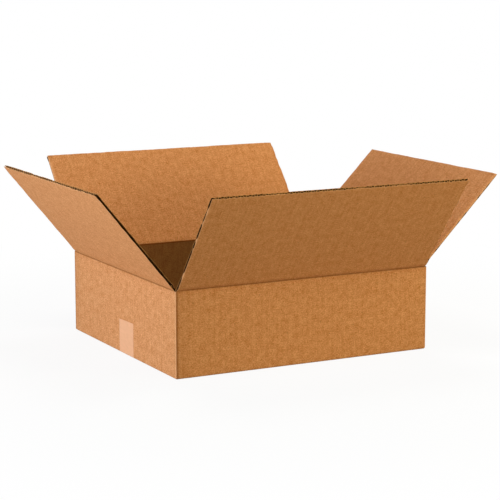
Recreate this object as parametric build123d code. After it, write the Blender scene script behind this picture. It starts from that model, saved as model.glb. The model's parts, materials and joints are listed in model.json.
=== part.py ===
from build123d import *
from math import radians, tan
import os

# A low slotted shipping box in corrugated board, standing open.
# The bottom is folded shut and taped, and the four top flaps lean outwards on their creases.
# X runs along the long walls, Y from the front wall to the back wall, and Z is up.
# The origin is the middle of the underside, on the face of the tape. Sizes are in millimetres.

# Box, measured outside
box_length = 394.0
box_width = 352.0
crease_height = 119.5
corner_radius = 3.0
inner_corner_radius = 0.6
bottom_fold_radius = 2.4

# Corrugated board
board = 4.2
liner = 0.35
medium = 0.35
flute_pitch = 7.9
flute_crest = 1.1

# Top flaps
minor_flap_length = 172.5
major_side_inset = 2.8
minor_side_inset = 5.2
crushed_strip = 7.0
pinch_reach = 6.0
pinch_depth = 1.0
closing_seam = 1.0

# Lean of each open top flap away from upright, in degrees
front_lean_angle = 37.5
back_lean_angle = 41.0
left_lean_angle = 39.5
right_lean_angle = 45.0

# Creases of the top flaps
crease_depth = 0.35
crease_play = 0.28
stacking_gap = 0.35
inward_fold_angle = 90.0
major_outward_angle = 100.0
minor_outward_angle = 110.0
fold_margin_angle = 1.0
slot_depth = 0.5
slot_play = 0.4

# Bottom flaps
bottom_minor_length = 172.5
bottom_seam = 1.6
bottom_play = 0.4
flap_on_flap = 0.15

# Glue tab inside the back right corner, and the butt joint in front of it
tab_width = 35.0
tab_taper = 9.0
tab_top_margin = 9.0
tab_bottom_margin = 4.0
joint_fold_radius = 2.5
joint_gap = 0.9

# Tape
tape_width = 48.0
tape_thickness = 0.1
tape_glue = 0.05
tape_rise = 50.0
tape_offset = -14.0

# Places that follow from the sizes above
board_underside = tape_thickness + tape_glue
half_length = box_length / 2
half_width = box_width / 2
minor_crease_z = board_underside + crease_height
major_crease_z = minor_crease_z + 2 * crease_depth + stacking_gap
major_crease_depth = board - crease_depth
minor_crease_depth = crease_depth
slot_z = minor_crease_z - slot_depth
major_span = box_length - 2 * major_side_inset
minor_span = box_width - 2 * minor_side_inset
major_flap_length = half_width - closing_seam / 2 - major_crease_depth
minor_floor_z = board_underside + board + flap_on_flap


def crease_outline(depth, outward_angle, reach):
    """Section of the board beside a crease. The tip is on the crease line, depth from the outer face,
    and the board is pinched thinner on the side that is further from it. Heights run away from the tip."""
    outer_slope = tan(radians((outward_angle + fold_margin_angle) / 2))
    inner_slope = tan(radians((inward_fold_angle + fold_margin_angle) / 2))
    near_outer_face = depth < board / 2
    outer_rim = 0 if near_outer_face else pinch_depth
    inner_rim = board - pinch_depth if near_outer_face else board
    return [
        (0, reach),
        (0, pinch_reach),
        (outer_rim, crease_play + (depth - outer_rim) * outer_slope),
        (depth, crease_play),
        (inner_rim, crease_play + (inner_rim - depth) * inner_slope),
        (board, pinch_reach),
        (board, reach),
    ]


def flute_cells(span):
    """Section of the hollow cells between the liners and the fluted medium, along one edge."""
    low = liner
    high = board - liner
    foot = flute_pitch / 2 - flute_crest - medium
    half_cells = int(span / flute_pitch) + 2
    cells = []
    for k in range(-half_cells, half_cells + 1):
        middle = k * flute_pitch / 2
        wide, narrow = (low, high) if k % 2 else (high, low)
        outline = Polyline(
            (middle - foot - flute_crest / 2, wide),
            (middle + foot + flute_crest / 2, wide),
            (middle + flute_crest / 2, narrow),
            (middle - flute_crest / 2, narrow),
            close=True,
        )
        cells.append(make_face(outline))
    return cells


def upright_flap(span, length, depth, outward_angle):
    """A top flap standing straight up. Its crease lies on X, and +Y points into the box."""
    edge = [(y - depth, z) for y, z in crease_outline(depth, outward_angle, crushed_strip)]
    creased_strip = extrude(Plane.YZ * make_face(Polyline(edge, close=True)), amount=span / 2, both=True)
    sheet = Pos(0, board / 2) * Rectangle(span, board) - flute_cells(span)
    fluted = extrude(Pos(0, -depth, crushed_strip) * sheet, amount=length - crushed_strip)
    return creased_strip + fluted


def on_wall(shape, side_angle, distance, height):
    """Moves a shape made for the front wall to the wall that faces side_angle."""
    return Rot(0, 0, side_angle) * Pos(0, -distance, height) * shape


def top_flap(side_angle, lean, major):
    """One open top flap at its wall, leaning outwards by its angle."""
    if major:
        flap = upright_flap(major_span, major_flap_length, major_crease_depth, major_outward_angle)
        distance, height = half_width - major_crease_depth, major_crease_z
    else:
        flap = upright_flap(minor_span, minor_flap_length, minor_crease_depth, minor_outward_angle)
        distance, height = half_length - minor_crease_depth, minor_crease_z
    return on_wall(Rot(lean, 0, 0) * flap, side_angle, distance, height)


def wall_top(span, depth, outward_angle, crease_z):
    """The creased top of one wall, made for the front wall, and the space that it takes."""
    foot = minor_crease_z - crushed_strip
    edge = [(y, crease_z - z) for y, z in crease_outline(depth, outward_angle, crease_z - foot)]
    ridge = extrude(Plane.YZ * make_face(Polyline(edge, close=True)), amount=span / 2 + slot_play, both=True)
    cleared = Pos(0, 0, foot) * Box(
        span + 2 * slot_play, board, 2 * crushed_strip, align=(Align.CENTER, Align.MIN, Align.MIN)
    )
    return cleared, ridge


def joint_groove():
    """The cut end of the right wall beside the back wall's fold, seen from above."""
    wall_end = half_length - board
    centre = Pos(wall_end - joint_fold_radius, half_width - joint_fold_radius)
    corner = centre * Rectangle(joint_fold_radius, joint_fold_radius, align=(Align.MIN, Align.MIN))
    groove = corner - centre * Circle(joint_fold_radius)
    end_cut = Pos(wall_end, half_width - joint_gap) * Rectangle(
        board + 1, joint_gap + 1, align=(Align.MIN, Align.MIN)
    )
    return groove + end_cut


def walls():
    """Four walls with folded corners, a glued corner at the back right and creased top edges."""
    height = slot_z - board_underside
    shell = extrude(RectangleRounded(box_length, box_width, corner_radius), amount=height)
    shell = fillet(shell.edges().group_by(Axis.Z)[0], bottom_fold_radius)
    inside = RectangleRounded(
        box_length - 2 * board, box_width - 2 * board, inner_corner_radius
    )
    shell -= extrude(inside, amount=height)
    shell -= extrude(joint_groove(), amount=height)
    shell = Pos(0, 0, board_underside) * shell
    major_top = wall_top(major_span, major_crease_depth, major_outward_angle, major_crease_z)
    minor_top = wall_top(minor_span, minor_crease_depth, minor_outward_angle, minor_crease_z)
    sides = [
        (0, half_width, major_top),
        (180, half_width, major_top),
        (-90, half_length, minor_top),
        (90, half_length, minor_top),
    ]
    for side_angle, distance, (cleared, ridge) in sides:
        shell -= on_wall(cleared, side_angle, distance, 0)
        shell += on_wall(ridge, side_angle, distance, 0)
    return shell


def bottom_flaps():
    """Two minor flaps folded in over the two major flaps, which meet at the seam."""
    flaps = []
    for side_angle in (0, 180):
        reach = half_width - board - bottom_seam / 2
        major = Box(
            box_length - 2 * (board + bottom_play), reach, board,
            align=(Align.CENTER, Align.MIN, Align.MIN),
        )
        flaps.append(on_wall(major, side_angle, half_width - board, board_underside))
    for side_angle in (90, -90):
        minor = Box(
            minor_span, bottom_minor_length - board, board,
            align=(Align.CENTER, Align.MIN, Align.MIN),
        )
        flaps.append(on_wall(minor, side_angle, half_length - board, minor_floor_z))
    return flaps


def glue_tab():
    """The tab that carries the back wall round the corner and is glued inside the right wall."""
    low = minor_floor_z + board + tab_bottom_margin
    high = minor_crease_z - tab_top_margin
    fold = half_width - board
    outline = Polyline(
        (fold, low),
        (fold, high),
        (fold - tab_width, high - tab_taper),
        (fold - tab_width, low + tab_taper),
        close=True,
    )
    return Pos(half_length - 2 * board, 0, 0) * extrude(Plane.YZ * make_face(outline), amount=board)


def box_body():
    """Walls, bottom flaps and glue tab: one folded sheet."""
    body = walls()
    for flap in bottom_flaps():
        body += flap
    return body + glue_tab()


def bottom_tape():
    """One strip under the bottom seam that turns up both short walls."""
    inner_length = box_length + 2 * tape_glue
    outer_length = inner_length + 2 * tape_thickness
    wrap_radius = bottom_fold_radius + tape_glue

    def trough(length, low, radius):
        panel = Pos(0, low) * Rectangle(length, tape_rise + radius - low, align=(Align.CENTER, Align.MIN))
        return fillet(panel.vertices().group_by(Axis.Y)[0], radius)

    section = trough(outer_length, 0, wrap_radius + tape_thickness)
    section -= trough(inner_length, tape_thickness, wrap_radius)
    section -= Pos(0, tape_rise) * Rectangle(
        outer_length + 1, 2 * corner_radius + wrap_radius, align=(Align.CENTER, Align.MIN)
    )
    strip = extrude(Plane.XZ * section, amount=tape_width / 2, both=True)
    return Pos(0, tape_offset, 0) * strip


parts = {
    "box_body": box_body(),
    "front_top_flap": top_flap(0, front_lean_angle, major=True),
    "back_top_flap": top_flap(180, back_lean_angle, major=True),
    "left_top_flap": top_flap(-90, left_lean_angle, major=False),
    "right_top_flap": top_flap(90, right_lean_angle, major=False),
    "bottom_tape": bottom_tape(),
}

os.makedirs("parts", exist_ok=True)
for name, solid in parts.items():
    export_step(solid, f"parts/{name}.step")
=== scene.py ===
import json
from math import atan2, cos, hypot, pi, radians, sin

import bmesh
import bpy
import numpy as np
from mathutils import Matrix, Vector


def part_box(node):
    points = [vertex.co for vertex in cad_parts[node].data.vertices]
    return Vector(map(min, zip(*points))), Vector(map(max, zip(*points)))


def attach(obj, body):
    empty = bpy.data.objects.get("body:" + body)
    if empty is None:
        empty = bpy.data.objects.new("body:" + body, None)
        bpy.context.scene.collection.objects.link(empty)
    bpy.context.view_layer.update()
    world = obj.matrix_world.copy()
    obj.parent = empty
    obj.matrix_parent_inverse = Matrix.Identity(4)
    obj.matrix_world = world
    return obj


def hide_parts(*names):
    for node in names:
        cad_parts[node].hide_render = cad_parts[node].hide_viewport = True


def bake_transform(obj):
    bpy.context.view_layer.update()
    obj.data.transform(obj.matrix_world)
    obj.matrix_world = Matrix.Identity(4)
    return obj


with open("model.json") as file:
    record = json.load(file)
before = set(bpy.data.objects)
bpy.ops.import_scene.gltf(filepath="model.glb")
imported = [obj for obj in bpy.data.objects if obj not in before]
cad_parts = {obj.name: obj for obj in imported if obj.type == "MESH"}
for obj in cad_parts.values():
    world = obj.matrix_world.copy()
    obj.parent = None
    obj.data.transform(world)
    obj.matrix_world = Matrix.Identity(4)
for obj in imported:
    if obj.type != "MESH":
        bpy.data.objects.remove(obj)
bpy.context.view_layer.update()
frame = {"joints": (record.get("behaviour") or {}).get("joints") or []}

# The four walls are one strip of corrugated board, scored and folded at three corners.
# At the back right corner the strip's cut end stands beside the fold that carries the glue tab inside.
# The board is two flat kraft liners glued to a fluted sheet, and the flutes stand upright in the walls.
mm = 0.001
body_low, body_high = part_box("box_body")
half_length = body_high.x
half_width = body_high.y
underside = body_low.z
board = 4.2 * mm
liner = 0.35 * mm
flute_pitch = 7.9 * mm
corner_radius = 3.0 * mm
inner_corner_radius = 0.6 * mm
bottom_fold_radius = 2.4 * mm
joint_fold_radius = 2.5 * mm
joint_gap = 0.9 * mm
score_dip = 0.3 * mm
score_place = 1.3 * mm
score_reach = 1.1 * mm
wall_top_height = 112.65 * mm
crease_blank_height = 120.3 * mm
cut_setback = 2.6 * mm
hair = 0.1 * mm
no_edge = 1.0

# Where each wall faces, half its span, its distance from the middle, and its middle on the flat blank
wall_order = {
    "back": ((0, 1), half_length, half_width, half_length),
    "left": ((-1, 0), half_width, half_length, 2 * half_length + half_width),
    "front": ((0, -1), half_length, half_width, 3 * half_length + 2 * half_width),
    "right": ((1, 0), half_width, half_length, 4 * half_length + 3 * half_width),
}


def ease(x):
    """A smooth step from 0 to 1."""
    x = np.clip(x, 0.0, 1.0)
    return x * x * (3 - 2 * x)


def waver(places, step, seed):
    """Slow uneven waver between -1 and 1 along an edge, changing over about one step."""
    draw = np.random.default_rng(seed)
    first = np.floor(np.min(places) / step)
    knots = draw.uniform(-1, 1, int(np.ptp(places) / step) + 4)
    at = np.asarray(places) / step - first
    low = np.floor(at).astype(int)
    return knots[low] + (knots[low + 1] - knots[low]) * ease(at - low)


def spread(*columns):
    """Grids of equal shape, or numbers, stacked as the last axis."""
    return np.stack(np.broadcast_arrays(*[np.asarray(c, float) for c in columns]), axis=-1)


class BoardMesh:
    """Closed sheets of paper with their places on the flat blank, gathered into one mesh.
    The maps are blank (across and along the flutes), sides (distance from the panel's left and right edges)
    and ends (distance from its crease and from its free edge, or no_edge where it has none), in metres."""

    map_names = ("blank", "sides", "ends")
    weld = 1e-6

    def __init__(self):
        self.points, self.faces, self.maps, self.papers = [], [], [], []

    def closed(self, front, back, maps, front_paper, back_paper, rim_paper):
        """A closed sheet between two grids of points, with one row of maps for each grid place, and the
        papers of its two faces and of its edges. front_paper may name a paper for each row of faces."""
        rows, columns = front.shape[:2]
        places = np.concatenate([front.reshape(-1, 3), back.reshape(-1, 3)])
        values = np.concatenate([maps.reshape(-1, 6)] * 2)
        keys, welded = np.unique(np.round(places / self.weld), axis=0, return_inverse=True)
        welded = welded.reshape(-1) + len(self.points)
        index = np.arange(2 * rows * columns).reshape(2, rows, columns)
        quads = []
        rims = []
        for side in index:
            corners = (side[:-1, :-1], side[:-1, 1:], side[1:, 1:], side[1:, :-1])
            quads.append(np.stack([c.ravel() for c in corners], axis=-1))
            rim = (side[0, :-1], side[:-1, -1], side[-1, :0:-1], side[:0:-1, 0], side[0, :1])
            rims.append(np.concatenate(rim))
        quads.append(np.stack([rims[0][:-1], rims[0][1:], rims[1][1:], rims[1][:-1]], axis=-1))
        self.points.extend((keys * self.weld).tolist())
        row_papers = np.broadcast_to(np.reshape(front_paper, (-1, 1)), (rows - 1, columns - 1)).ravel()
        papers = [*row_papers, *[back_paper] * len(quads[1]), *[rim_paper] * len(quads[2])]
        for quad, paper in zip(np.concatenate(quads), papers):
            kept = [c for k, c in enumerate(quad) if welded[c] != welded[quad[k - 1]]]
            if len({welded[c] for c in kept}) > 2:
                self.faces.append([int(welded[c]) for c in kept])
                self.maps.extend(values[c] for c in kept)
                self.papers.append(int(paper))

    def make(self, name, papers):
        """The mesh object, with its outside facing out and only its cut edges sharp."""
        mesh = bpy.data.meshes.new(name)
        mesh.from_pydata(self.points, [], self.faces)
        values = np.array(self.maps)
        for k, map_name in enumerate(self.map_names):
            layer = mesh.uv_layers.new(name=map_name)
            layer.data.foreach_set("uv", values[:, 2 * k:2 * k + 2].ravel())
        mesh.polygons.foreach_set("material_index", self.papers)
        work = bmesh.new()
        work.from_mesh(mesh)
        bmesh.ops.recalc_face_normals(work, faces=work.faces)
        work.to_mesh(mesh)
        work.free()
        mesh.shade_smooth()
        mesh.set_sharp_from_angle(angle=radians(35))
        for paper in papers:
            mesh.materials.append(paper)
        made = bpy.data.objects.new(name, mesh)
        bpy.context.scene.collection.objects.link(made)
        return made


def add(tree, kind, inputs=(), **settings):
    """A shader node with its settings, and its inputs linked or set."""
    node = tree.nodes.new(kind)
    for key, value in settings.items():
        setattr(node, key, value)
    for socket, value in dict(inputs).items():
        if isinstance(value, bpy.types.NodeSocket):
            tree.links.new(value, node.inputs[socket])
        else:
            node.inputs[socket].default_value = value
    return node


def sum_of(tree, operation, first, second=0.0, third=0.0):
    """The result of one sum on numbers or sockets."""
    made = add(tree, "ShaderNodeMath", {0: first, 1: second, 2: third}, operation=operation)
    return made.outputs[0]


def new_effect(name, inputs, outputs):
    """An empty shader group with its sockets, and its two end nodes."""
    tree = bpy.data.node_groups.new(name, "ShaderNodeTree")
    for socket, (kind, value) in inputs.items():
        made = tree.interface.new_socket(socket, in_out="INPUT", socket_type=kind)
        if value is not None:
            made.default_value = value
    for socket in outputs:
        tree.interface.new_socket(socket, in_out="OUTPUT", socket_type="NodeSocketFloat")
    return tree, tree.nodes.new("NodeGroupInput").outputs, tree.nodes.new("NodeGroupOutput").inputs


def noise(tree, place, scale, detail, roughness=0.5, distortion=0.0):
    """Fractal noise around 0.5 at a place."""
    inputs = {
        "Vector": place, "Scale": scale, "Detail": detail, "Roughness": roughness, "Distortion": distortion,
    }
    return add(tree, "ShaderNodeTexNoise", inputs).outputs[0]


def map_place(tree, map_name):
    """The place that one of a mesh's maps gives."""
    return add(tree, "ShaderNodeUVMap", uv_map=map_name).outputs[0]


def distances(tree, map_name):
    """The two distances that one of a mesh's maps holds."""
    return add(tree, "ShaderNodeSeparateXYZ", {0: map_place(tree, map_name)}).outputs


number = "NodeSocketFloat"
vector = "NodeSocketVector"

# Pulp texture that every paper of the board shares: clouds, fine grain, short fibres and dark specks.
# Scales are in marks per metre. The fibres lie three ways, each with a turn and how close its fibres stand
# along and across.
cloud_scale = 105.0
grain_scale = 490.0
fibre_ways = ((0.25, 560.0, 2300.0), (-0.5, 520.0, 2500.0), (1.35, 190.0, 800.0))
fibre_bend = 0.9
fibre_thinness = 20.0
speck_scale = 210.0
speck_rarity = 5.0
widest_speck = 0.16
speck_edge = 0.02
pulp, given, wanted = new_effect(
    "pulp", {"Place": (vector, None), "Seed": (number, 0.0)}, ("Cloud", "Grain", "Fibre", "Speck")
)
lift = add(pulp, "ShaderNodeCombineXYZ", {"Z": given["Seed"]}).outputs[0]
lifted = add(pulp, "ShaderNodeVectorMath", {0: given["Place"], 1: lift}, operation="ADD").outputs[0]
cloud = noise(pulp, lifted, cloud_scale, 2.0, 0.6)
grain = noise(pulp, lifted, grain_scale, 2.0, 0.55)
fibre = 0.0
for turn, close_along, close_across in fibre_ways:
    lie = {"Vector": lifted, "Rotation": (0.0, 0.0, turn), "Scale": (close_along, close_across, 1.0)}
    strand = noise(pulp, add(pulp, "ShaderNodeMapping", lie).outputs[0], 1.0, 1.0, 0.5, fibre_bend)
    off_strand = sum_of(pulp, "ABSOLUTE", sum_of(pulp, "SUBTRACT", strand, 0.5))
    one_way = sum_of(pulp, "MAXIMUM", sum_of(pulp, "MULTIPLY_ADD", off_strand, -fibre_thinness, 1.0), 0.0)
    fibre = sum_of(pulp, "MAXIMUM", one_way, fibre)
speck_cell = add(pulp, "ShaderNodeTexVoronoi", {"Vector": lifted, "Scale": speck_scale}, feature="F1")
speck_draw = add(pulp, "ShaderNodeSeparateColor", {"Color": speck_cell.outputs["Color"]}).outputs[0]
speck_size = sum_of(pulp, "MULTIPLY", sum_of(pulp, "POWER", speck_draw, speck_rarity), widest_speck)
speck_depth = sum_of(pulp, "SUBTRACT", speck_size, speck_cell.outputs["Distance"])
speck_range = {"Value": speck_depth, "From Min": -speck_edge, "From Max": speck_edge}
speck = add(pulp, "ShaderNodeMapRange", speck_range)
for source, goal in ((cloud, "Cloud"), (grain, "Grain")):
    centred = sum_of(pulp, "SUBTRACT", source, 0.5)
    pulp.links.new(sum_of(pulp, "MULTIPLY", centred, 4.0), wanted[goal])
pulp.links.new(fibre, wanted["Fibre"])
pulp.links.new(speck.outputs[0], wanted["Speck"])

# Faint upright ribs where the liner is glued to the flutes, uneven in strength, and streaks along them
rib_change_scale = 150.0
streak_scale = 420.0
drawn_along_flutes = (1.0, 0.07, 1.0)
ribs, given, wanted = new_effect(
    "flute ribs", {"Place": (vector, None), "Pitch": (number, flute_pitch), "Seed": (number, 0.0)},
    ("Rib", "Streak"),
)
across = add(ribs, "ShaderNodeSeparateXYZ", {"Vector": given["Place"]}).outputs[0]
lift = add(ribs, "ShaderNodeCombineXYZ", {"Z": given["Seed"]}).outputs[0]
lifted = add(ribs, "ShaderNodeVectorMath", {0: given["Place"], 1: lift}, operation="ADD").outputs[0]
drawn_out = add(ribs, "ShaderNodeVectorMath", {0: lifted, 1: drawn_along_flutes}, operation="MULTIPLY")
strength = noise(ribs, drawn_out.outputs[0], rib_change_scale, 1.0)
streak = noise(ribs, drawn_out.outputs[0], streak_scale, 3.0, 0.7)
wave = sum_of(ribs, "SINE", sum_of(ribs, "MULTIPLY", sum_of(ribs, "DIVIDE", across, given["Pitch"]), 2 * pi))
ribs.links.new(sum_of(ribs, "MULTIPLY", wave, sum_of(ribs, "MULTIPLY", strength, 2.0)), wanted["Rib"])
centred = sum_of(ribs, "SUBTRACT", streak, 0.5)
ribs.links.new(sum_of(ribs, "MULTIPLY", centred, 4.0), wanted["Streak"])

# How much a place lies on an edge or score line of a given width, broken up along its length
patch_scale = 260.0
edge_band, given, wanted = new_effect(
    "edge band",
    {"Distance": (number, 0.0), "Width": (number, mm), "Place": (vector, None), "Break": (number, 0.5)},
    ("Band",),
)
patches = noise(edge_band, given["Place"], patch_scale, 3.0)
near = sum_of(edge_band, "DIVIDE", sum_of(edge_band, "ABSOLUTE", given["Distance"]), given["Width"])
falloff = add(
    edge_band, "ShaderNodeMapRange", {"Value": near, "From Min": 0.25, "To Min": 1.0, "To Max": 0.0},
    interpolation_type="SMOOTHSTEP",
)
unbroken = sum_of(edge_band, "SUBTRACT", 1.0, given["Break"])
ragged = sum_of(edge_band, "MULTIPLY_ADD", patches, given["Break"], unbroken)
edge_band.links.new(sum_of(edge_band, "MULTIPLY", falloff.outputs[0], ragged), wanted["Band"])


def mixed(tree, share, first, second):
    """A colour between two others."""
    return add(tree, "ShaderNodeMix", {0: share, 6: first, 7: second}, data_type="RGBA").outputs[2]


speck_brown = (0.17, 0.07, 0.025, 1)
# Painted shade: dark brown laid on the score lines and folds, as thin lines and as wider faint bands beside
# them
painted_shade_brown = (0.21, 0.060, 0.005, 1)
# Painted highlight: a paler tan on the far side of each fold, where the fold catches the light
fold_highlight_tan = (0.86, 0.48, 0.24, 1)
fuzz_tan = (0.86, 0.54, 0.30, 1)
# Painted shade deep inside the flute cells, further in than the cut edges
hollow_shade_dark = (0.024, 0.008, 0.002, 1)
# Widths of the painted shade: thin lines on the creases and folds, and wider bands of shade beside them
crease_line = 2.0 * mm
crease_shade = 9.0 * mm
fold_line = 4.4 * mm
fold_shade = 30.0 * mm
tone_middle = 0.44
cloud_share = 0.18
grain_share = 0.36
fibre_share = 0.36
rib_share = 0.03
speck_share = 0.6
# How strong the wide bands of painted shade are, beside the thin painted lines
shade_share = 0.12
# How strong and how wide the painted highlight beside each fold is
fold_highlight_share = 0.4
fold_highlight_width = 2.6 * mm
fuzz_width = 1.2 * mm
mouth_width = 0.7 * mm


def kraft(
    name, seed, pale, deep, crease=0.0, fold=0.0, glow=0.0, hollow=0.0, coarse=1.0, streak=0.06, sheen=0.08
):
    """Brown kraft paper between its pale and deep tones. crease and fold are the strengths of painted shade
    on the score lines and folds and in wide bands beside them, and fold also paints a highlight on the far
    side of a fold;
    glow is the paler fuzz along a cut edge, hollow paints shade on what lies further inside the board than
    its cut edges, coarse is how strongly the pulp shows, and streak is how strongly it is drawn out along the
    flutes."""
    material = bpy.data.materials.new(name)
    material.use_nodes = True
    tree = material.node_tree
    surface = tree.nodes["Principled BSDF"]
    place = map_place(tree, "blank")
    sides = distances(tree, "sides")
    ends = distances(tree, "ends")
    side = sum_of(tree, "MINIMUM", sides[0], sides[1])
    cut = sum_of(tree, "MINIMUM", side, ends[1])

    def effect(group, **inputs):
        return add(tree, "ShaderNodeGroup", inputs, node_tree=group).outputs

    paper = effect(pulp, Place=place, Seed=seed)
    ribbing = effect(ribs, Place=place, Seed=seed + 3.0)
    tone = sum_of(tree, "MULTIPLY_ADD", paper["Cloud"], cloud_share * coarse, tone_middle)
    tone = sum_of(tree, "MULTIPLY_ADD", paper["Grain"], grain_share * coarse, tone)
    tone = sum_of(tree, "MULTIPLY_ADD", paper["Fibre"], fibre_share * coarse, tone)
    tone = sum_of(tree, "MULTIPLY_ADD", ribbing["Rib"], rib_share, tone)
    tone = sum_of(tree, "MULTIPLY_ADD", ribbing["Streak"], streak, tone)
    colour = mixed(tree, tone, deep, pale)
    colour = mixed(tree, sum_of(tree, "MULTIPLY", paper["Speck"], speck_share), colour, speck_brown)
    # Painted shade on the score lines and folds, and fainter painted shade in wide bands beside them
    painted_shade_bands = (
        (ends[0], crease_line, crease), (ends[0], crease_shade, shade_share * crease),
        (sides[0], fold_line, fold), (sides[0], fold_shade, shade_share * fold),
    )
    for distance, width, strength in painted_shade_bands:
        if strength:
            band = effect(edge_band, Distance=distance, Width=width, Place=place, Break=0.3)["Band"]
            colour = mixed(tree, sum_of(tree, "MULTIPLY", band, strength), colour, painted_shade_brown)
    # Painted highlight along the far side of each fold
    if fold:
        fold_highlight = effect(edge_band, Distance=sides[1], Width=fold_highlight_width, Place=place, Break=0.3)["Band"]
        colour = mixed(tree, sum_of(tree, "MULTIPLY", fold_highlight, fold_highlight_share * fold), colour, fold_highlight_tan)
    if glow:
        fuzz = effect(edge_band, Distance=cut, Width=fuzz_width, Place=place, Break=0.8)["Band"]
        colour = mixed(tree, sum_of(tree, "MULTIPLY", fuzz, glow), colour, fuzz_tan)
    # Painted shade: the flute cells grow dark further inside the board than a narrow mouth at the cut edge
    if hollow:
        mouth = effect(edge_band, Distance=cut, Width=mouth_width, Place=place, Break=0.1)["Band"]
        depth = sum_of(tree, "MULTIPLY", sum_of(tree, "SUBTRACT", 1.0, mouth), hollow)
        colour = mixed(tree, depth, colour, hollow_shade_dark)
    rise = sum_of(tree, "MULTIPLY_ADD", paper["Fibre"], 0.25, sum_of(tree, "MULTIPLY", paper["Grain"], 0.25))
    paper_bump = add(tree, "ShaderNodeBump", {"Height": rise, "Strength": 0.5, "Distance": 0.06 * mm})
    rib_bump = add(
        tree, "ShaderNodeBump",
        {"Height": ribbing["Rib"], "Strength": 0.3, "Distance": 0.05 * mm, "Normal": paper_bump.outputs[0]},
    ).outputs[0]
    rough_range = {"Value": paper["Grain"], "From Min": -1.0, "From Max": 1.0, "To Min": 0.72, "To Max": 0.88}
    rough = add(tree, "ShaderNodeMapRange", rough_range).outputs[0]
    tree.links.new(colour, surface.inputs["Base Color"])
    tree.links.new(rough, surface.inputs["Roughness"])
    tree.links.new(rib_bump, surface.inputs["Normal"])
    surface.inputs["Specular IOR Level"].default_value = sheen
    return material


kraft_pale = (0.84, 0.397, 0.160, 1)
kraft_deep = (0.43, 0.116, 0.009, 1)
# Painted shade: the walls' inner liner is the same paper as the flaps' inner liner, given darker tones for
# the shade inside the box
shaded_inside_tone = ((0.38, 0.190, 0.062, 1), (0.20, 0.088, 0.023, 1))
cut_tone = ((0.74, 0.35, 0.115, 1), (0.48, 0.20, 0.055, 1))
flute_tone = ((0.50, 0.235, 0.09, 1), (0.36, 0.16, 0.058, 1))
# The wall papers carry painted shade on their creases and folds, and a painted highlight beside each fold
wall_outside = kraft("wall outside", 1.0, kraft_pale, kraft_deep, crease=0.7, fold=0.8)
shaded_wall_inside = kraft("shaded wall inside", 11.0, *shaded_inside_tone, crease=0.9, fold=0.45, streak=0.3)
cut_edge = kraft("cut edge", 21.0, *cut_tone, sheen=0.0)
# The fluted sheet's paper, with painted shade deep inside its cells
flute_hollow = kraft("flute hollow", 51.0, *flute_tone, hollow=0.9, sheen=0.0)
outside_face, inside_face, edge_face, hollow_face = range(4)


def fold_radius(depth):
    """Corner radius of the walls' outline at a depth from the outer face."""
    return max(corner_radius - depth, inner_corner_radius)


def wall_stations(name, depth):
    """Plan of one wall at a depth from its outer face: points from its left fold to its right fold, as seen
    from outside, with the distance along the wall from its middle on the outer face."""
    (nx, ny), half_span, distance, _ = wall_order[name]
    radius = fold_radius(depth)
    straight = half_span - corner_radius
    inner_straight = half_span - depth - radius
    near_fold = np.array([0.0, 0.6, 1.2, 1.8, 2.4, 3.2, 4.2, 6.0, 9.0]) * mm
    inside = np.linspace(-straight + near_fold[-1], straight - near_fold[-1], 45)[1:-1]
    along = np.concatenate([-straight + near_fold, inside, (straight - near_fold)[::-1]])
    from_fold = straight - np.abs(along)
    deepest = score_dip if depth < board / 2 else 0.0
    dip = deepest * np.exp(-((from_fold - score_place) / score_reach) ** 2)
    plan = [(a * inner_straight / straight, distance - depth - d) for a, d in zip(along, dip)]
    turns = np.linspace(0, pi / 4, 5)[1:]
    right_arc = [(inner_straight + radius * sin(t), distance - depth - radius * (1 - cos(t))) for t in turns]
    left_arc = [(-a, b) for a, b in right_arc[::-1]]
    reach = corner_radius * turns
    marks = np.concatenate([-straight - reach[::-1], along, straight + reach])
    local = np.array(left_arc + plan + right_arc)
    right = np.array((-ny, nx), float)
    outward = np.array((nx, ny), float)
    return local[:, :1] * right + local[:, 1:] * outward, marks


def tab_fold(depth):
    """Plan of the fold that carries the glue tab, at one end of the back wall, and its places along it."""
    centre = np.array((half_length - board - joint_fold_radius, half_width - joint_fold_radius))
    if depth < board / 2:
        turns = np.linspace(0, pi / 2, 7)
        radius = max(joint_fold_radius - depth, hair)
        plan = centre + radius * np.stack([np.cos(turns), np.sin(turns)], axis=-1)
    else:
        inner_x = np.linspace(half_length - board, centre[0] + hair, 7)
        plan = np.stack([inner_x, np.full(7, half_width - depth)], axis=-1)
    return plan, -(centre[0] + np.linspace(joint_fold_radius * pi / 2, 0, 7))


def cut_end(depth):
    """Plan of the right wall's cut end, whose outer edge the knife has rounded a little."""
    rounding = 0.5 * mm if depth < board / 2 else 0.0
    tip_x = half_length - depth - rounding * np.array([0, 0.3, 1])
    tip_y = half_width - joint_gap - np.array([1.2, 0.4, 0.0]) * mm
    return np.stack([tip_x, tip_y], axis=-1)


def wall_ring(depth):
    """Plan of all four walls at a depth, from the fold at the back right corner round to the cut end."""
    plans, marks, sides = [], [], []
    for name, (_, half_span, _, middle) in wall_order.items():
        plan, along = wall_stations(name, depth)
        quarter = corner_radius * pi / 4
        ends = half_span - corner_radius + quarter
        if name == "back":
            fold, fold_marks = tab_fold(depth)
            kept = along > -(half_span - board - joint_fold_radius)
            plan = np.concatenate([fold, plan[kept]])
            along = np.concatenate([fold_marks, along[kept]])
        if name == "right":
            tip = cut_end(depth)
            kept = along < half_span - corner_radius + hair
            plan = np.concatenate([plan[kept], tip])
            along = np.concatenate([along[kept], tip[:, 1]])
        plans.append(plan)
        marks.append(middle + along)
        sides.append(np.stack([along + ends, ends - along], axis=-1))
    return np.concatenate(plans), np.concatenate(marks), np.concatenate(sides)


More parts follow.
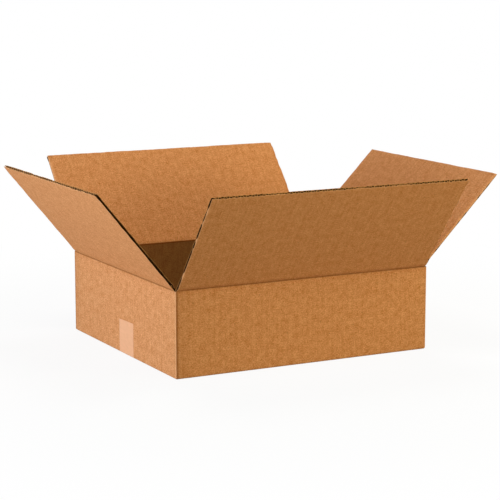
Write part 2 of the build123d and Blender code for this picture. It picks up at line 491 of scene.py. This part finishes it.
def wall_sheet(mesh, front_profile, back_profile, paper, setback=0.0):
    """One layer of the walls: each profile is a list of depths and heights from the bottom up."""
    grids = []
    for profile in (front_profile, back_profile):
        rows = []
        for depth, height in profile:
            plan, marks, sides = wall_ring(depth)
            rows.append(spread(plan[:, 0], plan[:, 1], height))
        grids.append(np.array(rows))
    heights = np.array([h for _, h in front_profile])
    depths = np.array([d for d, _ in front_profile])
    run = np.concatenate([[0], np.cumsum(np.hypot(np.diff(heights), np.diff(depths)))])
    flutes = (run - run[-1] + heights[-1])[:, None]
    maps = spread(marks, flutes, sides[:, 0], sides[:, 1], flutes - crease_blank_height, no_edge)
    kept = slice(None)
    if setback:
        kept = (marks > marks[0] + setback) & (marks < marks[-1] - setback)
    mesh.closed(grids[0][:, kept], grids[1][:, kept], maps[:, kept], paper, hollow_face, edge_face)


wall_rows = np.linspace(underside + bottom_fold_radius, wall_top_height, 14)


def outer_profile(depth):
    """The outer liner's section at a depth below its face: under the box, round the fold and up the wall."""
    radius = bottom_fold_radius - depth
    centre_height = underside + bottom_fold_radius
    turns = np.linspace(0, pi / 2, 8)
    bends = [(bottom_fold_radius - radius * sin(t), centre_height - radius * cos(t)) for t in turns]
    return [(board, underside + depth)] + bends + [(depth, h) for h in wall_rows[1:]]


walls = BoardMesh()
outside = outer_profile(0.0)
wall_sheet(walls, outside, outer_profile(liner), outside_face)
core_rows = np.linspace(underside + bottom_fold_radius, wall_top_height, 3)
core_faces = [[(depth, h) for h in core_rows] for depth in (liner, board - liner)]
wall_sheet(walls, *core_faces, hollow_face, cut_setback)
inner_rows = np.linspace(underside, wall_top_height, 6)
inner_faces = [[(depth, h) for h in inner_rows] for depth in (board, board - liner)]
wall_sheet(walls, *inner_faces, inside_face)
wall_papers = (wall_outside, shaded_wall_inside, cut_edge, flute_hollow)

walls_piece = walls.make("walls", wall_papers)
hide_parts("box_body")
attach(walls_piece, "carton")

# The slots between the top flaps stop at the creases, so a short post of folded board stands at each corner.
# Its cut top shows the outer liner and, a little lower, the crushed flutes and the inner liner.
slot_height = 119.15 * mm
slot_play = 0.4 * mm
post_core_drop = 0.6 * mm
post_nook_drop = 0.2 * mm
post_crease_play = 5 * mm
major_half_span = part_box("front_top_flap")[1].x
minor_half_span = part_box("left_top_flap")[1].y
post_edge_x = major_half_span + slot_play
post_edge_y = minor_half_span + slot_play


def post_outline(depth, folded):
    """Outer edge of one corner post at a depth, from its long wall's side round to its short wall's side."""
    radius = corner_radius - depth
    centre_x = half_length - corner_radius
    centre_y = half_width - corner_radius
    first = np.arcsin((post_edge_x - centre_x) / radius)
    turns = np.concatenate([np.linspace(first, pi / 4, 4), np.linspace(pi / 4, pi / 2, 4)])
    arc = np.stack([centre_x + radius * np.sin(turns), centre_y + radius * np.cos(turns)], axis=-1)
    if not folded:
        arc[:, 1] = np.minimum(arc[:, 1], half_width - joint_gap - depth)
    foot = (half_length - depth, post_edge_y)
    marks = np.append(corner_radius * (turns - pi / 4), centre_y - post_edge_y + corner_radius * pi / 4)
    return np.vstack([arc, foot]), marks


posts = BoardMesh()
corner_folds = {(1, 1): 0.0, (-1, 1): 2 * half_length, (-1, -1): 2 * (half_length + half_width),
                (1, -1): 4 * half_length + 2 * half_width}
for (side_x, side_y), fold_mark in corner_folds.items():
    folded = (side_x, side_y) != (1, 1)
    mirror = np.array((side_x, side_y))
    outer, marks = post_outline(0.0, folded)
    under_liner, _ = post_outline(liner, folded)
    inner = np.tile((post_edge_x, post_edge_y), (len(outer), 1))
    nook = np.array([(half_length - board, post_edge_y), (half_length - board, half_width - board)])
    nook_back = nook + (post_edge_x + hair - nook[0, 0], 0)
    for edge, other, top, paper in (
        (outer, under_liner, slot_height, outside_face),
        (under_liner, inner, slot_height - post_core_drop, hollow_face),
        (nook, nook_back, slot_height - post_nook_drop, inside_face),
    ):
        heights = np.array((wall_top_height, top))[:, None]
        grids = [spread(*(plan * mirror).T, heights) for plan in (edge, other)]
        from_fold = -marks * side_x * side_y if len(edge) == len(marks) else np.zeros(len(edge))
        right_hand = (np.arange(len(edge)) < 4) == (side_x == side_y)
        off_left = np.where(right_hand, np.abs(from_fold), no_edge)
        off_right = np.where(right_hand, no_edge, np.abs(from_fold))
        off_crease = heights - slot_height - post_crease_play
        maps = spread(fold_mark + from_fold, heights, off_left, off_right, off_crease, no_edge)
        posts.closed(*grids, maps, paper, hollow_face, edge_face)

posts_piece = posts.make("corner_posts", wall_papers)
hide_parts("box_body")
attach(posts_piece, "carton")

# The bottom is four flaps of the same sheet, folded in from the walls: the long pair meets over the middle
# underneath, and the short pair lies on it inside, well apart. Their free edges are cut across the flutes.
medium = 0.4 * mm
burr = 0.8
flute_steps = 10
steepness = 2.1
wave_top = np.tanh(steepness)
edge_unevenness = 0.12 * mm

# How deep the knife presses the liners in, in millimetres, and over what lengths that changes
deepest_press = 1.7
blunt_least = 0.1
blunt_more = 0.45
nick_depth = 0.3
side_press_reach = 1.2 * mm
end_press_reach = 2.5 * mm
blunt_run = 31 * mm
nick_run = 5 * mm
pinch_run = 8 * mm

edge_steps = np.array([0.0, 0.4, 1.0, 2.0, 3.5, 6.0, 10.0]) * mm
across_step = 4.5 * mm
side_tuck = 4.2 * mm
bottom_play = 0.4 * mm
bottom_seam = 1.6 * mm
flap_on_flap = 0.15 * mm
bottom_minor_reach = 168.3 * mm
bottom_blank_start = -200 * mm
past_crease = 8 * mm


def stepped(low, high, step):
    """Places from low to high: close together beside both ends, and about a step apart between them."""
    middle_places = np.linspace(low + edge_steps[-1], high - edge_steps[-1], int((high - low) / step))
    return np.concatenate([low + edge_steps[:-1], middle_places, (high - edge_steps[:-1])[::-1]])


def fluted_board(mesh, place, half_span, start, end, blank_at, crease_at, seed, pinch=(0.1, 0.0), rows=6):
    """A flat panel: two liners with the fluted sheet between them, cut across the flutes at its far end.
    place turns distances along the crease, along the flutes and in from the outer face into points.
    pinch is how deep the knife has pressed the liners together down the sides, all along and in patches."""
    blank_middle, blank_start = blank_at
    across = stepped(-half_span, half_span, across_step)
    far_rows = (end - start - edge_steps)[::-1]
    run = start + np.append(np.linspace(0, far_rows[0], rows + 1)[:-1], far_rows)

    def crushed(a, b):
        """How far each liner is pressed in by the knife beside the cut edges."""
        off_side = half_span - np.abs(a)
        patches = ease(0.5 + 1.1 * waver(b + (a > 0), pinch_run, seed + 1))
        pinched = (pinch[0] + pinch[1] * patches) * ease((b - start) / (6 * mm))
        blunted = blunt_least + blunt_more * ease(2 * waver(a + half_span, blunt_run, seed + 2))
        blunted += nick_depth * waver(a + half_span, nick_run, seed)
        press = pinched * np.exp(-off_side / side_press_reach)
        press += blunted * np.exp(-(end - b) / end_press_reach)
        return np.clip(press, 0, deepest_press) * mm

    def ragged(a, b):
        """The panel's own places, with its cut edges slightly uneven."""
        side_pull = ease(1 - (half_span - np.abs(a)) / (2 * mm)) * waver(b, 6 * mm, seed + 3)
        end_pull = ease(1 - (end - b) / (2 * mm)) * waver(a + half_span, 4 * mm, seed + 4)
        pulled_a = a - np.sign(a) * edge_unevenness * np.abs(side_pull)
        return pulled_a, b - edge_unevenness * np.abs(end_pull)

    def maps_of(a, b):
        return spread(blank_middle + a, blank_start + b, half_span + a, half_span - a, crease_at + b, end - b)

    a, b = np.meshgrid(across, run)
    press = crushed(a, b)
    cut_a, cut_b = ragged(a, b)
    for near, far, paper in (
        (press, press + liner, outside_face), (board - press, board - press - liner, inside_face)
    ):
        mesh.closed(
            place(cut_a, cut_b, near), place(cut_a, cut_b, far), maps_of(a, b), paper, hollow_face, edge_face
        )

    waves = np.arange(-half_span + side_tuck, half_span - side_tuck, flute_pitch / flute_steps)
    flute_ends = edge_unevenness * (1.3 + waver(waves + half_span, 2.5 * mm, seed + 5))
    wave_rows = np.array([start, end - 9 * mm, end - 4 * mm, end - 1.5 * mm, end])[:, None]
    at_end = wave_rows == end
    b = wave_rows - flute_ends * at_end
    a = waves + 0 * b
    phase = 2 * pi * (a + blank_middle) / flute_pitch
    room = board / 2 - liner - medium / 2 - np.minimum(crushed(a, b), 0.9 * mm)
    shape = np.tanh(steepness * np.sin(phase)) / wave_top
    turning = steepness * np.cos(phase) * (1 - (shape * wave_top) ** 2) / wave_top
    slope = room * 2 * pi / flute_pitch * turning
    length = np.hypot(1, slope)
    centre = board / 2 + room * shape
    swollen = 1 + burr * at_end
    sides = []
    for offset in (medium / 2 * swollen, -medium / 2 * swollen):
        sides.append(place(a - offset * slope / length, b, centre + offset / length))
    mesh.closed(*sides, maps_of(a, b), hollow_face, hollow_face, edge_face)


bottom = BoardMesh()
for name, ((nx, ny), half_span, distance, middle) in wall_order.items():
    outward = np.array((nx, ny, 0.0))
    rightward = np.array((-ny, nx, 0.0))
    major = name in ("front", "back")
    level = underside if major else underside + board + flap_on_flap
    reach = half_width - board - bottom_seam / 2 if major else bottom_minor_reach
    span = half_length - board - bottom_play if major else minor_half_span

    def folded_in(a, b, t):
        along = (distance - board - b)[..., None] * outward + a[..., None] * rightward
        return along + (level + t)[..., None] * np.array((0, 0, 1.0))

    seed = 40 + len(name) + int(major)
    fluted_board(bottom, folded_in, span, 0.0, reach, (middle, bottom_blank_start), past_crease, seed)
bottom_piece = bottom.make("bottom_flaps", wall_papers)
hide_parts("box_body")
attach(bottom_piece, "carton")

# The glue tab is the far end of the sheet, folded round the back right corner and glued inside the right
# wall. Its top and bottom are cut on a slant, and its flutes stand upright as they do in the walls.
tab_width = 35.0 * mm
tab_taper = 9.0 * mm
tab_low = 12.7 * mm
tab_high = 110.65 * mm
tab = BoardMesh()
tab_start = half_width - board
tab_across = stepped(0.0, tab_width, 4 * mm)
slant = tab_taper * tab_across / tab_width
tab_rows = np.linspace(0, 1, 6)[:, None]
tab_heights = tab_low + slant + (tab_high - tab_low - 2 * slant) * tab_rows
tab_maps = spread(
    -tab_across, tab_heights, tab_across, tab_width - tab_across, tab_heights - crease_blank_height, no_edge
)


def on_tab(depth):
    """The tab's grid of points at a depth from the wall that it is glued to."""
    return spread(half_length - board - depth, tab_start - tab_across, tab_heights)


tab.closed(on_tab(0.0), on_tab(liner), tab_maps, outside_face, hollow_face, edge_face)
tab.closed(on_tab(board), on_tab(board - liner), tab_maps, inside_face, hollow_face, edge_face)
waved = np.arange(0.0, tab_width - cut_setback, flute_pitch / flute_steps)
wave_slant = tab_taper * waved / tab_width + 0.2 * mm
wave_heights = tab_low + wave_slant + (tab_high - tab_low - 2 * wave_slant) * tab_rows[[0, -1]]
wave_depth = board / 2 + (board / 2 - liner - medium / 2) * np.sin(2 * pi * waved / flute_pitch)
inside_board = 5 * mm
wave_maps = spread(-waved, wave_heights, inside_board, inside_board, no_edge, inside_board)
wave_faces = [
    spread(half_length - board - wave_depth - half_medium, tab_start - waved, wave_heights)
    for half_medium in (medium / 2, -medium / 2)
]
tab.closed(*wave_faces, wave_maps, hollow_face, hollow_face, edge_face)
tab_piece = tab.make("glue_tab", wall_papers)
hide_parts("box_body")
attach(tab_piece, "carton")

# Each top flap turns on a crease: a strip of the same sheet that a creasing wheel has pressed thin across
# the flutes. The liners run on over it, shaped once to the flap's open lean, while the board on both sides
# stays flat.
# The short flaps bend over a shorter stretch, so that the long flaps close over them.
crease_reach = 7.0 * mm
crease_depth = 0.35 * mm
score_run = 6.0 * mm
crease_unevenness = 0.16 * mm
unevenness_run = 13 * mm
unevenness_reach = 2.5 * mm
widening_run = 1.2 * mm

# Depth and half width of the grooves on the two faces of a crease, and the radius of their floors. The deep
# groove is on the face that lies further from the crease line, and has a fine notch along its middle.
deep_groove = (0.8 * mm, 3.4 * mm)
shallow_groove = (0.2 * mm, 0.8 * mm)
outside_floor_radius = 3.05 * mm
inside_floor_radius = 2.7 * mm
shallow_floor_radius = 0.26 * mm
floor_flatness = 2.2
notch_depth = 0.5 * mm
notch_share = 0.045

# The flap papers carry painted shade along their creases
flap_outside = kraft("flap outside", 31.0, kraft_pale, kraft_deep, crease=0.8, glow=0.5, coarse=0.8)
flap_inside = kraft("flap inside", 41.0, kraft_pale, kraft_deep, crease=1.0, glow=0.5)
flap_papers = (flap_outside, flap_inside, cut_edge, flute_hollow)
crease_papers = (*flap_papers, wall_outside, shaded_wall_inside)
fan_steps = np.array([0.07, 0.15, 0.23, 0.31, 0.38, 0.43, 0.47])
fan = np.concatenate([fan_steps, [0.5], 1 - fan_steps[::-1]])


def crease_section(face, lean, outer, wall_end):
    """Section of one liner over a crease, from the wall up to the flap, about the line that it turns on.
    face is how far that line lies behind the liner. A point's first number is the way out to the liner."""
    deep = face > board / 2
    dip, rim = deep_groove if deep else shallow_groove
    sign = 1 if outer else -1
    fall = np.linspace(0, 1, 6)
    heights = -score_run + (score_run - rim) * fall
    wall_half = [(face, wall_end)] + [(face - dip * ease(f), h) for f, h in zip(fall, heights)]
    flap_half = [(x, -y) for x, y in wall_half[1:]][::-1] + [(face, crease_reach)]
    rim_angle = atan2(rim, face - dip)
    rim_radius = hypot(rim, face - dip)
    deep_floor_radius = outside_floor_radius if outer else inside_floor_radius
    floor_radius = deep_floor_radius if deep else shallow_floor_radius
    notch = notch_depth if deep else 0.0
    angles = -rim_angle + (2 * rim_angle - sign * lean) * fan
    radii = floor_radius + (rim_radius - floor_radius) * np.abs(2 * fan - 1) ** floor_flatness
    radii = radii - notch * np.exp(-((fan - 0.5) / notch_share) ** 2)
    fan_part = [(r * cos(t), r * sin(t)) for r, t in zip(radii, angles)]
    side = sign * sin(lean)
    turned = [(x * cos(lean) + y * side, y * cos(lean) - x * side) for x, y in flap_half]
    return np.array(wall_half + fan_part + turned)


def thickened(section, thickness):
    """The same section, a paper's thickness further in."""
    along = np.gradient(section, axis=0)
    along /= np.hypot(*along.T)[:, None]
    return section + thickness * np.stack([-along[:, 1], along[:, 0]], axis=-1)


def run_along(section):
    """Distance along a section from its wall end, and from its crease line."""
    run = np.append(0, np.cumsum(np.hypot(*np.diff(section, axis=0).T)))
    return run, run - run[len(run) // 2]


flap_runs = {}
creases = {j["child"]: j for j in frame["joints"]}
for name, ((nx, ny), wall_half_span, _, middle) in wall_order.items():
    crease = creases[name + "_flap"]
    hinge = np.array(crease["pos_m"])
    lean = radians(crease["range_deg"][1] - 90)
    major = name in ("front", "back")
    half_span = major_half_span if major else minor_half_span
    hinge_depth = board - crease_depth if major else crease_depth
    outward = np.array((nx, ny, 0.0))
    rightward = np.array((-ny, nx, 0.0))
    upward = np.array((0, 0, 1.0))
    wall_end = wall_top_height - hinge[2]
    outer_section = crease_section(hinge_depth, lean, True, wall_end)
    inner_section = crease_section(board - hinge_depth, lean, False, wall_end)
    across = stepped(-half_span, half_span, across_step)
    slot_reach = wall_half_span - corner_radius * (1 - pi / 4) - half_span
    height_waver = crease_unevenness * waver(across + half_span, unevenness_run, 60 + len(name))
    near_crease = np.exp(-(run_along(outer_section)[1] / unevenness_reach) ** 2)[:, None]

    def over_crease(section, way, setback=0.0):
        """Points of a section all along the crease. Beside the slots the wall's part is a little wider."""
        onto_flap = ease((run_along(section)[1] + widening_run) / widening_run)
        widen = 1 + slot_play / half_span * (1 - onto_flap)
        kept = across * (1 - setback / half_span)
        a = widen[:, None] * kept
        height = section[:, 1][:, None] + near_crease * height_waver
        return (
            hinge + a[..., None] * rightward + (way * section[:, 0][:, None] + 0 * a)[..., None] * outward
            + height[..., None] * upward
        )

    crease_mesh = BoardMesh()
    layers = {}
    for section, way, paper in ((outer_section, 1, outside_face), (inner_section, -1, inside_face)):
        under = thickened(section, liner)
        run, from_crease = run_along(section)
        reach = half_span + np.where(from_crease < 0, slot_reach, 0.0)[:, None]
        maps = spread(
            middle + across, wall_top_height + run[:, None], reach + across, reach - across,
            from_crease[:, None], no_edge,
        )
        # Over the wall the liners take the wall papers; the inside one is darker with painted shade
        wall_part = 0.5 * (from_crease[:-1] + from_crease[1:]) < 0
        papers = np.where(wall_part, paper + len(flap_papers), paper)
        faces = (over_crease(section, way), over_crease(under, way))
        crease_mesh.closed(*faces, maps, papers, hollow_face, edge_face)
        layers[paper] = under
        flap_runs[name, paper] = (wall_top_height + run[-1], from_crease[-1])
    core = [over_crease(layers[outside_face], 1, side_tuck), over_crease(layers[inside_face], -1, side_tuck)]
    crease_mesh.closed(*core, maps, hollow_face, hollow_face, edge_face)
    crease_piece = crease_mesh.make(name + "_crease", crease_papers)

    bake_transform(crease_piece)

# The four top flaps are flat board, slotted apart and left open, each leaning out at its own angle.
# Their cut edges show the flutes: open cells along the free edge, and one long groove down each side, which
# the knife has pressed shut in places.
side_pinch = {"front": (0.1, 1.3), "back": (0.1, 1.3), "left": (0.1, 0.35), "right": (1.72, -0.45)}
for name, ((nx, ny), _, _, middle) in wall_order.items():
    crease = creases[name + "_flap"]
    hinge = np.array(crease["pos_m"])
    lean = radians(crease["range_deg"][1] - 90)
    major = name in ("front", "back")
    half_span = major_half_span if major else minor_half_span
    hinge_depth = board - crease_depth if major else crease_depth
    low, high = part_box(name + "_top_flap")
    tip = max((corner[0] - hinge[0]) * nx + (corner[1] - hinge[1]) * ny for corner in (low, high))
    flap_length = (tip - hinge_depth * cos(lean)) / sin(lean)
    rightward = np.array((-ny, nx, 0.0))
    flutes_way = np.array((nx * sin(lean), ny * sin(lean), cos(lean)))
    inward = np.array((-nx * cos(lean), -ny * cos(lean), sin(lean)))

    def on_flap(a, b, t):
        on_outside = hinge + a[..., None] * rightward + b[..., None] * flutes_way
        return on_outside + (t - hinge_depth)[..., None] * inward

    blank_start, crease_run = flap_runs[name, 0]
    flap = BoardMesh()
    fluted_board(
        flap, on_flap, half_span, crease_reach, flap_length,
        (middle, blank_start - crease_reach), crease_run - crease_reach, seed=70 + 7 * len(name),
        pinch=side_pinch[name], rows=44,
    )
    flap_piece = flap.make(name + "_flap_board", flap_papers)
    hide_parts(name + "_top_flap")
    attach(flap_piece, name + "_flap")

# The bottom seam is closed by one strip of clear-brown packing tape, a thin glossy film with glue on one
# side. It runs under the box and is smoothed up both short walls. Each end was torn on a toothed blade.
tape_low, tape_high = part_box("bottom_tape")
tape_film = 0.1 * mm
tape_rise = tape_high.z
tape_fold = bottom_fold_radius + (underside - tape_film)
tooth_width = 1.6 * mm
tooth_height = 0.7 * mm
end_slant = 1.6 * mm
straight_start = 4 * mm


def tape_section(off_board):
    """Half the strip's section, from the middle of the underside to its end, at a distance off its face."""
    radius = tape_fold + tape_film - off_board
    centre_x = tape_high.x - tape_fold - tape_film
    flat = [(x, off_board) for x in np.linspace(0, centre_x, 40)[:-1]]
    centre_z = tape_fold + tape_film
    bend = [(centre_x + radius * sin(t), centre_z - radius * cos(t)) for t in np.linspace(0, pi / 2, 9)]
    rise = [(tape_high.x - off_board, z) for z in np.linspace(centre_z, tape_rise, 24)[1:]]
    return np.array(flat + bend + rise)


def tape_places(off_board):
    """The whole strip's grid of points. Both ends are cut in teeth and fall off a little to one side."""
    half = tape_section(off_board)
    whole = np.concatenate([half[:0:-1] * (-1, 1), half])
    across = np.arange(0, tape_high.y - tape_low.y, tooth_width / 4)
    tooth = np.abs((across / tooth_width + 0.25) % 1 - 0.5) * 2
    drop = tooth_height * tooth + end_slant * across / across[-1]
    height = np.maximum(whole[:, 1], off_board)[:, None]
    climb = ease((height - straight_start) / (tape_rise - straight_start))
    return spread(whole[:, 0][:, None], tape_low.y + across, height - drop * climb), across


tape_outer, tape_across = tape_places(0.0)
tape_inner, _ = tape_places(tape_film)
tape_half_run = 250 * mm
tape_run = np.linspace(-tape_half_run, tape_half_run, len(tape_outer))[:, None]
off_tape_end = tape_half_run - np.abs(tape_run)
tape_maps = spread(tape_across, tape_run, tape_across, tape_across[-1] - tape_across, off_tape_end, no_edge)
tape = BoardMesh()
tape.closed(tape_outer, tape_inner, tape_maps, 0, 0, 0)

tape_skin = bpy.data.materials.new("tape film")
tape_skin.use_nodes = True
tape_tree = tape_skin.node_tree
film = tape_tree.nodes["Principled BSDF"]
blisters = noise(tape_tree, map_place(tape_tree, "blank"), 120.0, 3.0)
creep = noise(tape_tree, map_place(tape_tree, "blank"), 900.0, 2.0)
glue_cover = {"Value": blisters, "From Min": 0.35, "From Max": 0.65, "To Min": 0.86, "To Max": 0.90}
stuck = add(tape_tree, "ShaderNodeMapRange", glue_cover).outputs[0]
tape_deep = (0.92, 0.425, 0.175, 1)
tape_pale = (0.95, 0.450, 0.195, 1)
tape_tone = mixed(tape_tree, blisters, tape_deep, tape_pale)
tape_bump = add(tape_tree, "ShaderNodeBump", {"Height": creep, "Strength": 0.25, "Distance": 0.03 * mm})
tape_tree.links.new(tape_tone, film.inputs["Base Color"])
tape_tree.links.new(stuck, film.inputs["Alpha"])
tape_tree.links.new(tape_bump.outputs[0], film.inputs["Normal"])
film.inputs["Roughness"].default_value = 0.32
film.inputs["Specular IOR Level"].default_value = 0.4
tape_piece = tape.make("tape_strip", (tape_skin,))
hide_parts("bottom_tape")
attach(tape_piece, "carton")

# The box stands on a plain pale studio floor. It bounces light as a matt surface does, looks white where no
# shadow falls, keeps the box's soft shadow, and can be looked through from below.


def seen_ray(tree):
    """1 for what the camera sees, also in a gloss or through a film, and 0 for light on its way elsewhere."""
    rays = add(tree, "ShaderNodeLightPath").outputs
    through = sum_of(tree, "MAXIMUM", rays["Is Glossy Ray"], rays["Is Transmission Ray"])
    return sum_of(tree, "MAXIMUM", rays["Is Camera Ray"], through)


floor_half = 6.0
floor_grey = (0.31, 0.31, 0.31, 1)
plain_white = (1, 1, 1, 1)
shadow_strength = 0.08
shadow_fade_start = 0.35
shadow_fade_end = 0.9
floor_corners = [(x * floor_half, y * floor_half, 0) for x, y in ((-1, -1), (1, -1), (1, 1), (-1, 1))]
floor_mesh = bpy.data.meshes.new("floor")
floor_mesh.from_pydata(floor_corners, [], [(0, 1, 2, 3)])
floor_paint = bpy.data.materials.new("studio floor")
floor_paint.use_nodes = True
tree = floor_paint.node_tree
tree.nodes.clear()
spot = add(tree, "ShaderNodeTexCoord").outputs["Object"]
from_box = add(tree, "ShaderNodeVectorMath", {0: spot}, operation="LENGTH").outputs["Value"]
shadow_fade = {
    "Value": from_box, "From Min": shadow_fade_start, "From Max": shadow_fade_end,
    "To Min": shadow_strength, "To Max": 0.0,
}
shadow_share = add(tree, "ShaderNodeMapRange", shadow_fade, interpolation_type="SMOOTHSTEP").outputs[0]
bounce = add(tree, "ShaderNodeBsdfDiffuse", {"Color": floor_grey}).outputs[0]
lit = add(tree, "ShaderNodeBsdfDiffuse", {"Color": plain_white}).outputs[0]
white = add(tree, "ShaderNodeEmission", {"Color": plain_white, "Strength": 1.0}).outputs[0]
shown = add(tree, "ShaderNodeMixShader", {0: shadow_share, 1: white, 2: lit}).outputs[0]
from_above = add(tree, "ShaderNodeMixShader", {0: seen_ray(tree), 1: bounce, 2: shown}).outputs[0]
clear = add(tree, "ShaderNodeBsdfTransparent").outputs[0]
below = add(tree, "ShaderNodeNewGeometry").outputs["Backfacing"]
both = add(tree, "ShaderNodeMixShader", {0: below, 1: from_above, 2: clear}).outputs[0]
add(tree, "ShaderNodeOutputMaterial", {"Surface": both})
floor_mesh.materials.append(floor_paint)
floor = bpy.data.objects.new("floor", floor_mesh)
bpy.context.scene.collection.objects.link(floor)

# Soft studio light: a low softbox to the left gives most of it, and is slightly cool. Warmer ones stand in
# front, high in front and to the right, a small one hangs overhead, and a plain one fills in from behind.
box_middle = Vector((0, 0, 0.1))
for name, place, width, height, watts, tint in (
    ("left softbox", (-1.9, -0.15, 0.285), 0.9, 0.57, 26.4, (1.0, 1.14, 1.40)),
    ("front softbox", (0.3, -2.0, 0.3), 0.8, 0.5, 13.9, (1.0, 0.97, 0.72)),
    ("high front softbox", (0.8, -1.3, 1.5), 0.8, 0.8, 10.2, (1.0, 0.97, 0.72)),
    ("right softbox", (1.8, -0.4, 0.9), 0.8, 0.8, 10.2, (1.0, 0.97, 0.74)),
    ("overhead softbox", (0.1, 0.35, 1.7), 0.7, 0.7, 10.4, (1.0, 0.99, 0.96)),
    ("back softbox", (0.8, 1.9, 0.5), 1.0, 1.0, 18.0, (1.0, 1.0, 1.0)),
):
    lamp = bpy.data.lights.new(name, "AREA")
    lamp.shape = "RECTANGLE"
    lamp.size = width
    lamp.size_y = height
    lamp.energy = watts
    lamp.color = tint
    lamp_object = bpy.data.objects.new(name, lamp)
    lamp_object.location = place
    lamp_object.rotation_euler = (box_middle - Vector(place)).to_track_quat("-Z", "Y").to_euler()
    lamp_object.visible_camera = False
    bpy.context.scene.collection.objects.link(lamp_object)

room = bpy.data.worlds.new("studio room")
room.use_nodes = True
tree = room.node_tree
room_colour = mixed(tree, seen_ray(tree), (0.01, 0.01, 0.01, 1), plain_white)
tree.links.new(room_colour, tree.nodes["Background"].inputs["Color"])
bpy.context.scene.world = room
bpy.context.scene.view_settings.view_transform = "Standard"

# The camera stands at the left front, a little above the open flaps, and looks slightly down on the box.
camera_data = bpy.data.cameras.new("camera")
camera_data.sensor_width = 36
camera_data.lens = 127.67
camera = bpy.data.objects.new("camera", camera_data)
camera.location = (-1.174, -2.245, 0.574)
yaw, pitch = radians(27.73), radians(9.90)
forward = Vector((sin(yaw) * cos(pitch), cos(yaw) * cos(pitch), -sin(pitch)))
camera.rotation_euler = forward.to_track_quat("-Z", "Y").to_euler()
bpy.context.scene.collection.objects.link(camera)
bpy.context.scene.camera = camera
